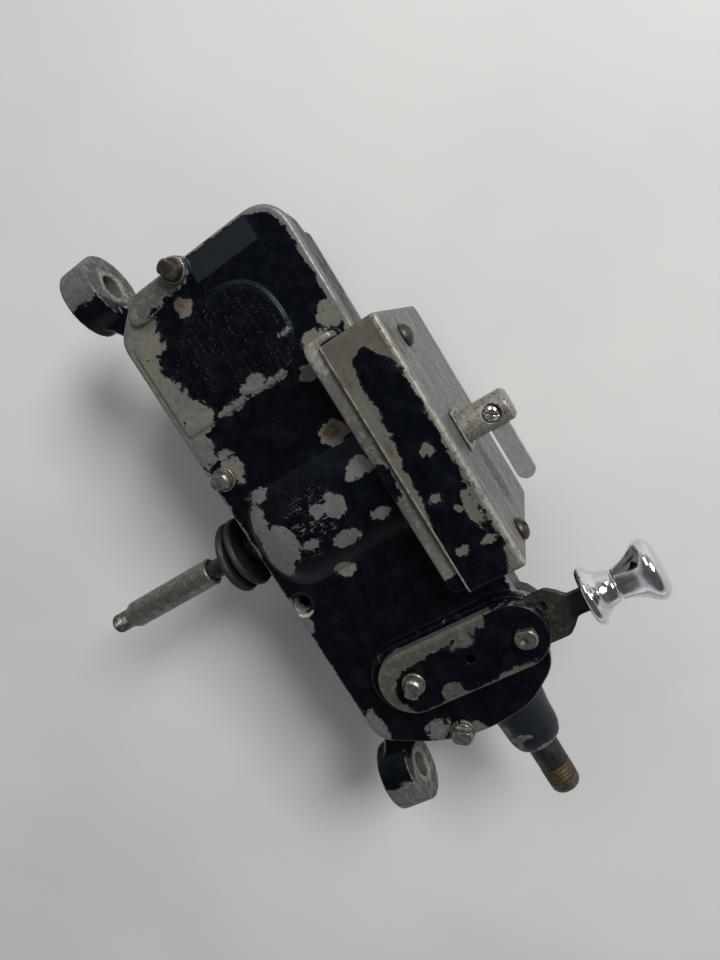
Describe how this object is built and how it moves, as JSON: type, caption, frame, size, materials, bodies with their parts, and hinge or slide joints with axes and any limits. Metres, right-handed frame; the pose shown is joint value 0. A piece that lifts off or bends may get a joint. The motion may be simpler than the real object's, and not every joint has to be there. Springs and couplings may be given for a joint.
{
  "type": "windscreen wiper motor",
  "caption": "Electric windscreen wiper motor: chipped black die-cast case, spindle with rubber grommets, stand-off lugs, switch box with lever and a chrome pull knob.",
  "frame": {"origin": "on the flat back of the case, directly under the spindle's axis and half way between the case's long edges", "axes": "+X along the case towards the cable gland, +Y along the spindle away from its tip towards the switch box, +Z from the flat back to the side cover"},
  "size_m": [0.2395, 0.1847, 0.083],
  "materials": {
    "case_enamel": "chipped semi-gloss black enamel over grey die-cast alloy",
    "box_steel": "scratched bare sheet steel with worn black paint",
    "fastener_steel": "dull worn steel",
    "rusty_steel": "brown oxidised steel",
    "chrome": "polished chrome plate with light wear",
    "rubber": "matt black rubber",
    "bronze": "oiled sintered bronze",
    "brass": "tarnished brass",
    "copper": "enamelled copper wire",
    "bakelite": "dark brown moulded phenolic",
    "dark_tube": "black finish worn at the edges",
    "soft_iron": "laminated soft iron",
    "carbon": "carbon brush",
    "gasket_paper": "oiled gasket paper",
    "spring_steel": "bright spring steel",
    "fibre": "laminated fibre gear stock"
  },
  "bodies": {
    "case": {"main_housing": "case_enamel", "side_cover": "case_enamel", "cover_gasket": "gasket_paper", "cover_bolt_left": "rusty_steel", "cover_bolt_front": "fastener_steel", "cover_bolt_right": "fastener_steel", "spring_washer_left": "fastener_steel", "spring_washer_front": "fastener_steel", "spring_washer_right": "fastener_steel", "switch_box_lid": "box_steel", "lid_screw_left": "rusty_steel", "lid_screw_right": "rusty_steel", "shaft_plate": "fastener_steel", "switch_base": "bakelite", "terminal_feed": "brass", "terminal_motor": "brass", "slide_cover": "case_enamel", "slide_washer": "fastener_steel", "slide_screw_front": "fastener_steel", "slide_screw_rear": "fastener_steel", "detent_spring": "spring_steel", "cable_nozzle": "dark_tube", "nozzle_ring": "brass", "nozzle_end": "bakelite", "grommet_inner": "rubber", "grommet_outer": "rubber", "spindle_bush_front": "bronze", "spindle_bush_rear": "bronze", "quadrant_pin": "spring_steel", "wheel_axle": "spring_steel", "bearing_left": "bronze", "bearing_right": "bronze", "field_yoke": "soft_iron", "field_coil_upper": "copper", "field_coil_lower": "copper", "brush_holder": "bakelite", "brush_front": "carbon", "brush_rear": "carbon", "brush_spring_front": "spring_steel", "brush_spring_rear": "spring_steel"},
    "spindle": {"spindle": "fastener_steel", "spindle_sleeve": "fastener_steel", "spindle_pinion": "fastener_steel"},
    "quadrant": {"drive_quadrant": "soft_iron"},
    "wheel": {"worm_wheel": "fibre"},
    "link": {"connecting_link": "fastener_steel"},
    "armature": {"armature_shaft": "fastener_steel", "armature_core": "soft_iron", "armature_winding_left": "copper", "armature_winding_right": "copper", "commutator": "copper"},
    "switch": {"switch_shaft": "fastener_steel", "switch_lever": "chrome", "lever_screw": "chrome", "contact_rotor": "bakelite"},
    "park_knob": {"park_slide": "rusty_steel", "knob_base": "chrome", "knob_cap": "chrome"}
  },
  "joints": [
    {"name": "spindle_swing", "type": "hinge", "parent": "case", "child": "spindle", "pos_m": [0, 0, 0.05], "axis": [0, 1, 0], "range_deg": [-52, 52]},
    {"name": "quadrant_swing", "type": "hinge", "parent": "case", "child": "quadrant", "pos_m": [0.021, 0, 0.05], "axis": [0, 1, 0], "range_deg": [-26, 26]},
    {"name": "armature_spin", "type": "hinge", "parent": "case", "child": "armature", "pos_m": [0, -0.004, 0.021], "axis": [1, 0, 0], "continuous": true},
    {"name": "wheel_turn", "type": "hinge", "parent": "case", "child": "wheel", "pos_m": [0.051, 0, 0.038], "axis": [0, 1, 0], "continuous": true},
    {"name": "link_turn", "type": "hinge", "parent": "wheel", "child": "link", "pos_m": [0.051, -0.012, 0.0433], "axis": [0, 1, 0], "continuous": true},
    {"name": "switch_turn", "type": "hinge", "parent": "case", "child": "switch", "pos_m": [-0.0015, 0, 0.06], "axis": [0, 1, 0], "range_deg": [0, 60]},
    {"name": "knob_pull", "type": "slide", "parent": "case", "child": "park_knob", "axis": [0, 1, 0], "range_m": [0, 0.008]}
  ],
  "couplings": [
    {"joint": "quadrant_swing", "follows": "spindle_swing", "ratio": -0.5},
    {"joint": "wheel_turn", "follows": "armature_spin", "ratio": 0.04},
    {"joint": "link_turn", "follows": "armature_spin", "ratio": -0.04}
  ]
}
